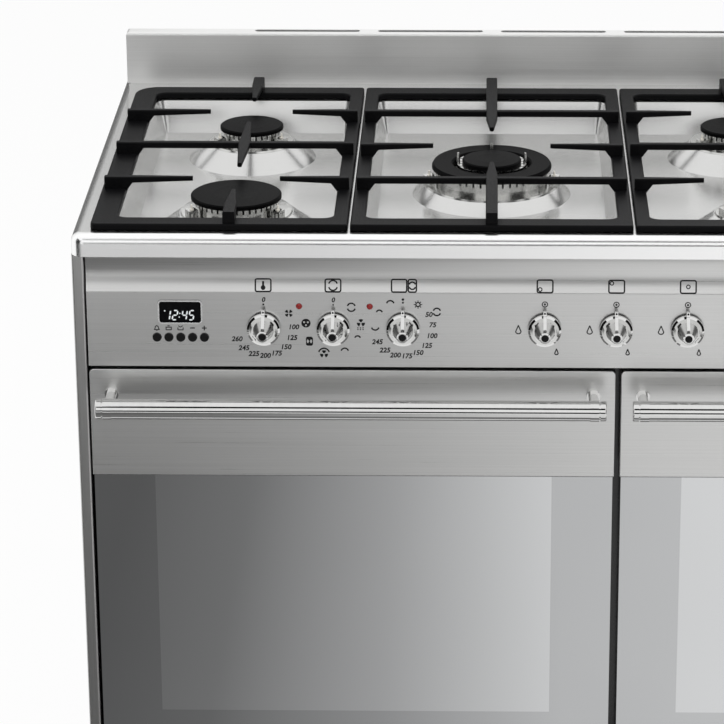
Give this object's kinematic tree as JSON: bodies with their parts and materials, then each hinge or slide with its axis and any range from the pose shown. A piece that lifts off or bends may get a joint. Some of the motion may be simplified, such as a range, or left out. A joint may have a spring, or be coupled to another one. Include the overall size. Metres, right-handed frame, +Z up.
{
  "type": "gas cooker",
  "caption": "Freestanding wide stainless gas range cooker with cast-iron pan supports, chrome knobs, clock, paired drop-down oven doors and a storage drawer.",
  "frame": {"origin": "centre of the bounding box's underside, on the floor", "axes": "+X to the user's right, +Y towards the wall behind, +Z up"},
  "size_m": [0.9, 0.6564, 0.964],
  "materials": {
    "stainless_sheet": "brushed stainless steel sheet",
    "galvanised_sheet": "galvanised steel sheet",
    "black_enamel_cast_iron": "matt black enamelled cast iron",
    "cap_enamel": "matt black enamelled burner cap",
    "cast_aluminium": "polished aluminium burner casting",
    "chrome": "polished chrome plate",
    "ceramic_pin": "glazed white ceramic pin",
    "oven_enamel": "dark grey oven enamel",
    "mineral_wool": "mineral wool",
    "seal_braid": "heat-proof braided seal",
    "door_glass": "tinted heat-reflecting glass",
    "black_plastic": "black thermoset",
    "clock_black": "black clock module and window",
    "red_lens": "red lamp jewel",
    "brass": "gas brass",
    "element_steel": "heat-blued element tube",
    "lamp_glass": "oven lamp glass",
    "foot_steel": "painted steel foot"
  },
  "bodies": {
    "carcass": {"side_panels": "stainless_sheet", "back_panel": "galvanised_sheet", "base_tray": "galvanised_sheet", "plinth": "stainless_sheet", "levelling_feet": "foot_steel", "hob_top": "stainless_sheet", "upstand": "stainless_sheet", "control_panel": "stainless_sheet", "clock_module": "clock_black", "indicator_lamps": "red_lens", "gas_rail": "brass", "oven_controls": "black_plastic", "burner_cups": "cast_aluminium", "flame_spreaders": "cast_aluminium", "burner_caps": "cap_enamel", "burner_probes": "ceramic_pin", "front_frame": "oven_enamel", "hinge_arms": "galvanised_sheet", "oven_liner_main": "oven_enamel", "oven_liner_aux": "oven_enamel", "insulation": "mineral_wool", "door_seals": "seal_braid", "side_racks": "chrome", "oven_shelves": "chrome", "heating_elements": "element_steel", "fan_motor": "galvanised_sheet", "fan_cover": "oven_enamel", "oven_lamps": "lamp_glass", "terminal_box": "black_plastic"},
    "main_door": {"door_main_panel": "stainless_sheet", "door_main_glass": "door_glass", "door_main_chassis": "oven_enamel", "door_main_handle": "chrome"},
    "aux_door": {"door_aux_panel": "stainless_sheet", "door_aux_glass": "door_glass", "door_aux_chassis": "oven_enamel", "door_aux_handle": "chrome"},
    "drawer": {"storage_drawer": "stainless_sheet"},
    "fan": {"fan_rotor": "galvanised_sheet"},
    "thermostat_knob": {"thermostat_knob": "chrome"},
    "function_knob": {"function_knob": "chrome"},
    "aux_oven_knob": {"aux_oven_knob": "chrome"},
    "tap_plunger_1": {"tap_plunger_1": "brass"},
    "burner_knob_1": {"burner_knob_1": "chrome"},
    "tap_plunger_2": {"tap_plunger_2": "brass"},
    "burner_knob_2": {"burner_knob_2": "chrome"},
    "tap_plunger_3": {"tap_plunger_3": "brass"},
    "burner_knob_3": {"burner_knob_3": "chrome"},
    "tap_plunger_4": {"tap_plunger_4": "brass"},
    "burner_knob_4": {"burner_knob_4": "chrome"},
    "tap_plunger_5": {"tap_plunger_5": "brass"},
    "burner_knob_5": {"burner_knob_5": "chrome"},
    "timer_button_1": {"timer_button_1": "black_plastic"},
    "timer_button_2": {"timer_button_2": "black_plastic"},
    "timer_button_3": {"timer_button_3": "black_plastic"},
    "timer_button_4": {"timer_button_4": "black_plastic"},
    "timer_button_5": {"timer_button_5": "black_plastic"},
    "pan_support_left": {"pan_support_left": "black_enamel_cast_iron"},
    "pan_support_middle": {"pan_support_middle": "black_enamel_cast_iron"},
    "pan_support_right": {"pan_support_right": "black_enamel_cast_iron"}
  },
  "joints": [
    {"name": "main_door_hinge", "type": "hinge", "parent": "carcass", "child": "main_door", "pos_m": [-0.1502, -0.2598, 0.271], "axis": [1, 0, 0], "range_deg": [0, 90], "stiffness_Nm_per_rad": 6, "springref_deg": -20.05},
    {"name": "aux_door_hinge", "type": "hinge", "parent": "carcass", "child": "aux_door", "pos_m": [0.2881, -0.2598, 0.271], "axis": [1, 0, 0], "range_deg": [0, 90], "stiffness_Nm_per_rad": 6, "springref_deg": -20.05},
    {"name": "drawer_slide", "type": "slide", "parent": "carcass", "child": "drawer", "axis": [0, -1, 0], "range_m": [0, 0.34]},
    {"name": "fan_spin", "type": "hinge", "parent": "carcass", "child": "fan", "pos_m": [-0.1502, 0.1582, 0.472], "axis": [0, 1, 0], "continuous": true},
    {"name": "thermostat_knob_turn", "type": "hinge", "parent": "carcass", "child": "thermostat_knob", "pos_m": [-0.245, -0.2818, 0.793], "axis": [0, 1, 0], "range_deg": [0, 245]},
    {"name": "function_knob_turn", "type": "hinge", "parent": "carcass", "child": "function_knob", "pos_m": [-0.17, -0.2818, 0.793], "axis": [0, 1, 0], "continuous": true},
    {"name": "aux_oven_knob_turn", "type": "hinge", "parent": "carcass", "child": "aux_oven_knob", "pos_m": [-0.095, -0.2818, 0.793], "axis": [0, 1, 0], "range_deg": [0, 330]},
    {"name": "burner_push_1", "type": "slide", "parent": "carcass", "child": "tap_plunger_1", "axis": [0, 1, 0], "range_m": [0, 0.003], "stiffness_N_per_m": 600, "springref_m": -0.004},
    {"name": "burner_turn_1", "type": "hinge", "parent": "tap_plunger_1", "child": "burner_knob_1", "pos_m": [0.0575, -0.2818, 0.793], "axis": [0, 1, 0], "range_deg": [-210, 0]},
    {"name": "burner_push_2", "type": "slide", "parent": "carcass", "child": "tap_plunger_2", "axis": [0, 1, 0], "range_m": [0, 0.003], "stiffness_N_per_m": 600, "springref_m": -0.004},
    {"name": "burner_turn_2", "type": "hinge", "parent": "tap_plunger_2", "child": "burner_knob_2", "pos_m": [0.13425, -0.2818, 0.793], "axis": [0, 1, 0], "range_deg": [-210, 0]},
    {"name": "burner_push_3", "type": "slide", "parent": "carcass", "child": "tap_plunger_3", "axis": [0, 1, 0], "range_m": [0, 0.003], "stiffness_N_per_m": 600, "springref_m": -0.004},
    {"name": "burner_turn_3", "type": "hinge", "parent": "tap_plunger_3", "child": "burner_knob_3", "pos_m": [0.211, -0.2818, 0.793], "axis": [0, 1, 0], "range_deg": [-210, 0]},
    {"name": "burner_push_4", "type": "slide", "parent": "carcass", "child": "tap_plunger_4", "axis": [0, 1, 0], "range_m": [0, 0.003], "stiffness_N_per_m": 600, "springref_m": -0.004},
    {"name": "burner_turn_4", "type": "hinge", "parent": "tap_plunger_4", "child": "burner_knob_4", "pos_m": [0.28775, -0.2818, 0.793], "axis": [0, 1, 0], "range_deg": [-210, 0]},
    {"name": "burner_push_5", "type": "slide", "parent": "carcass", "child": "tap_plunger_5", "axis": [0, 1, 0], "range_m": [0, 0.003], "stiffness_N_per_m": 600, "springref_m": -0.004},
    {"name": "burner_turn_5", "type": "hinge", "parent": "tap_plunger_5", "child": "burner_knob_5", "pos_m": [0.3645, -0.2818, 0.793], "axis": [0, 1, 0], "range_deg": [-210, 0]},
    {"name": "timer_press_1", "type": "slide", "parent": "carcass", "child": "timer_button_1", "axis": [0, 1, 0], "range_m": [0, 0.0015], "stiffness_N_per_m": 300, "springref_m": -0.002},
    {"name": "timer_press_2", "type": "slide", "parent": "carcass", "child": "timer_button_2", "axis": [0, 1, 0], "range_m": [0, 0.0015], "stiffness_N_per_m": 300, "springref_m": -0.002},
    {"name": "timer_press_3", "type": "slide", "parent": "carcass", "child": "timer_button_3", "axis": [0, 1, 0], "range_m": [0, 0.0015], "stiffness_N_per_m": 300, "springref_m": -0.002},
    {"name": "timer_press_4", "type": "slide", "parent": "carcass", "child": "timer_button_4", "axis": [0, 1, 0], "range_m": [0, 0.0015], "stiffness_N_per_m": 300, "springref_m": -0.002},
    {"name": "timer_press_5", "type": "slide", "parent": "carcass", "child": "timer_button_5", "axis": [0, 1, 0], "range_m": [0, 0.0015], "stiffness_N_per_m": 300, "springref_m": -0.002},
    {"name": "pan_support_left_lift", "type": "slide", "parent": "carcass", "child": "pan_support_left", "axis": [0, 0, 1], "range_m": [0, 0.08]},
    {"name": "pan_support_middle_lift", "type": "slide", "parent": "carcass", "child": "pan_support_middle", "axis": [0, 0, 1], "range_m": [0, 0.08]},
    {"name": "pan_support_right_lift", "type": "slide", "parent": "carcass", "child": "pan_support_right", "axis": [0, 0, 1], "range_m": [0, 0.08]}
  ]
}
